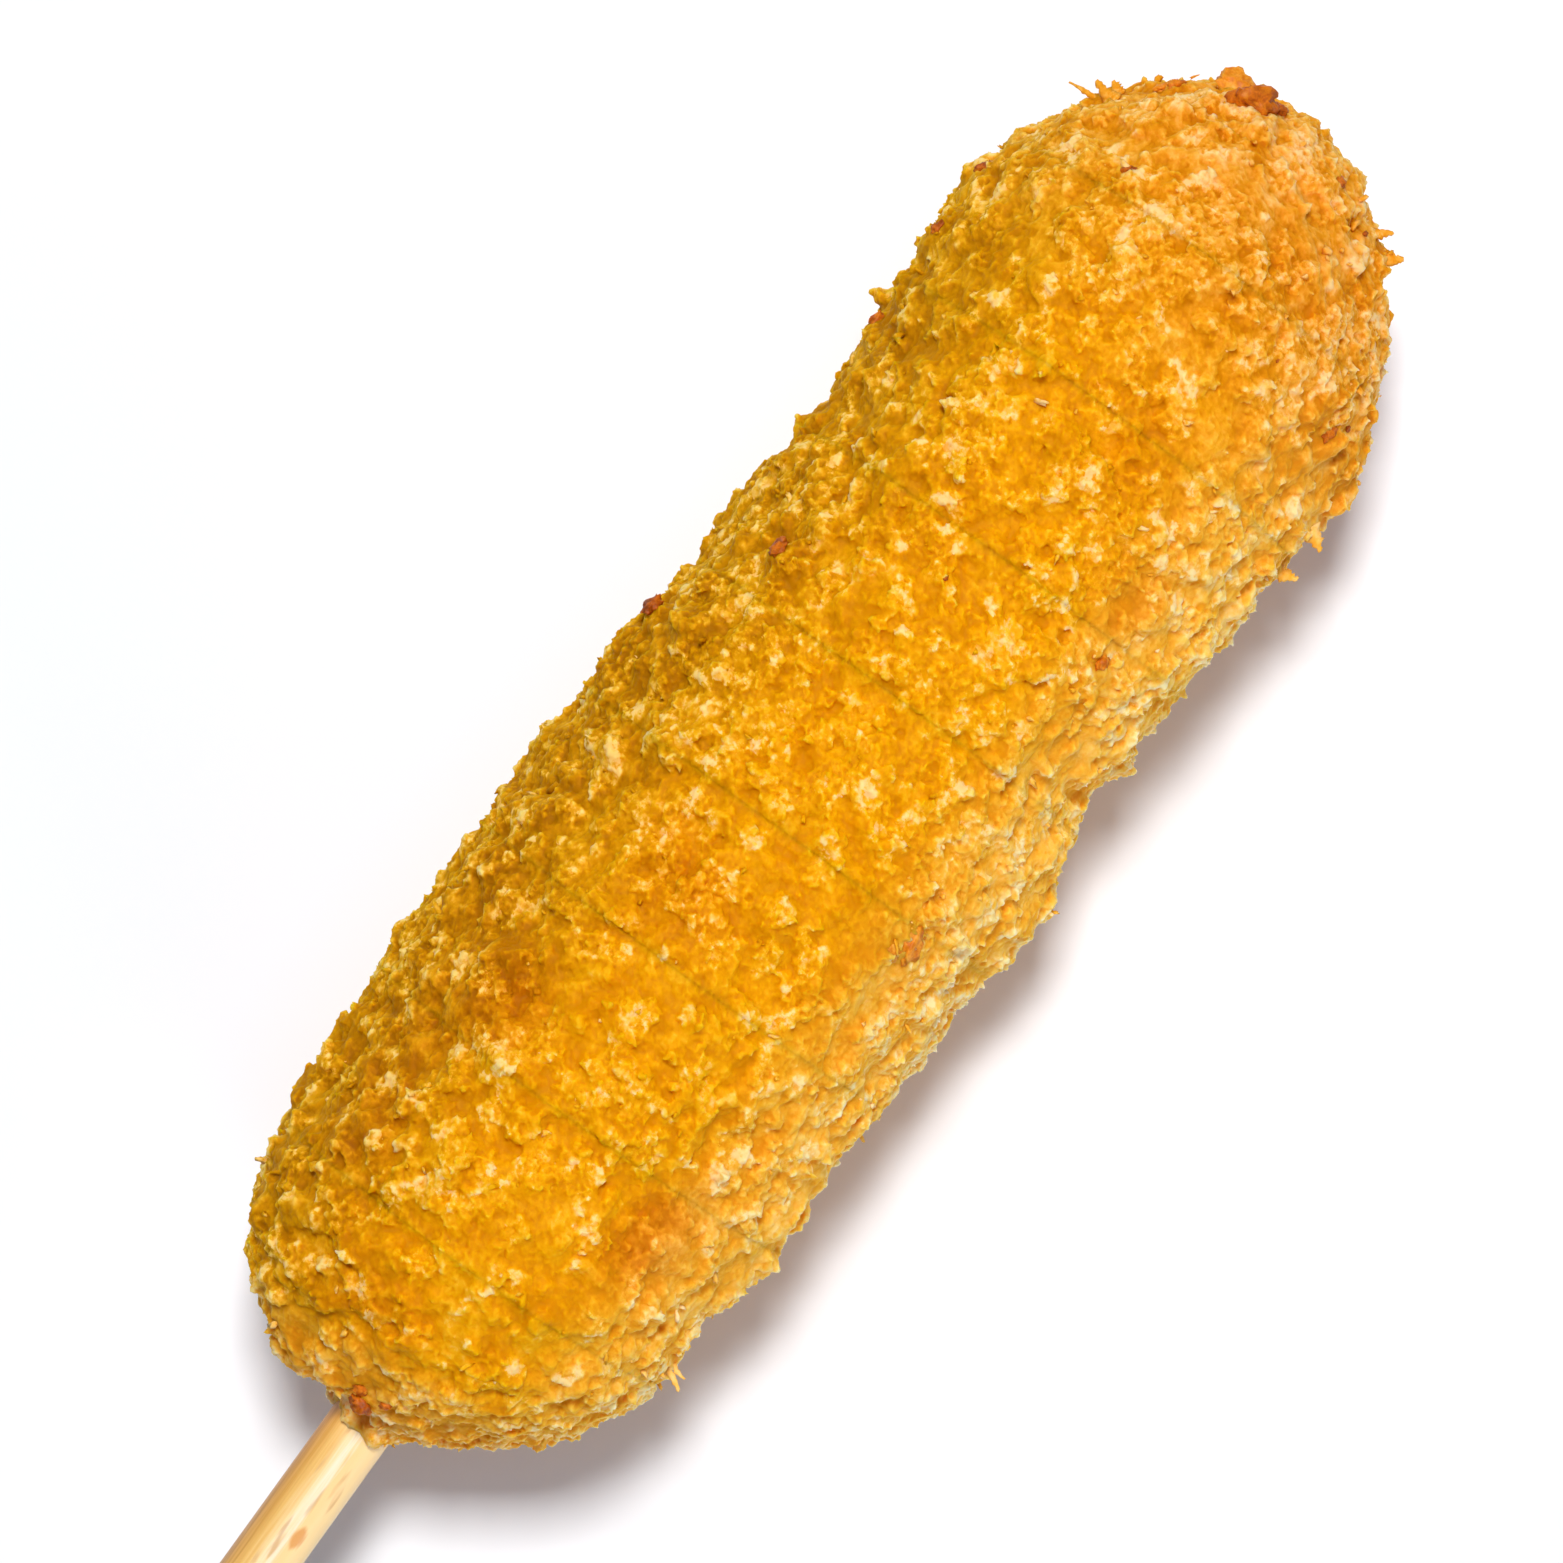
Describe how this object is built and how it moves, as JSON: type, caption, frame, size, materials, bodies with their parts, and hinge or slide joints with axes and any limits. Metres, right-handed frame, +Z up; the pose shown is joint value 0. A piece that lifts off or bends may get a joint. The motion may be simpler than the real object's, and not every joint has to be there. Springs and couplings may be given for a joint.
{
  "type": "corn dog",
  "caption": "Panko-crusted corn dog on a round bamboo stick, lying on its side: a plump uneven breaded body with a long bare stick to hold it by.",
  "frame": {"origin": "middle of the whole part's footprint, on the surface that the food lies on", "axes": "+X along the stick, from its bare end to the rounded tip; +Z up, out of the side that shows"},
  "size_m": [0.2092, 0.0422, 0.0393],
  "materials": {
    "toasted_crumb": "rough toasted breadcrumb, slightly oily",
    "bamboo": "smooth pale bamboo with fine lengthwise fibres"
  },
  "bodies": {
    "root": {"breaded_body": "toasted_crumb", "bamboo_stick": "bamboo"}
  },
  "joints": []
}
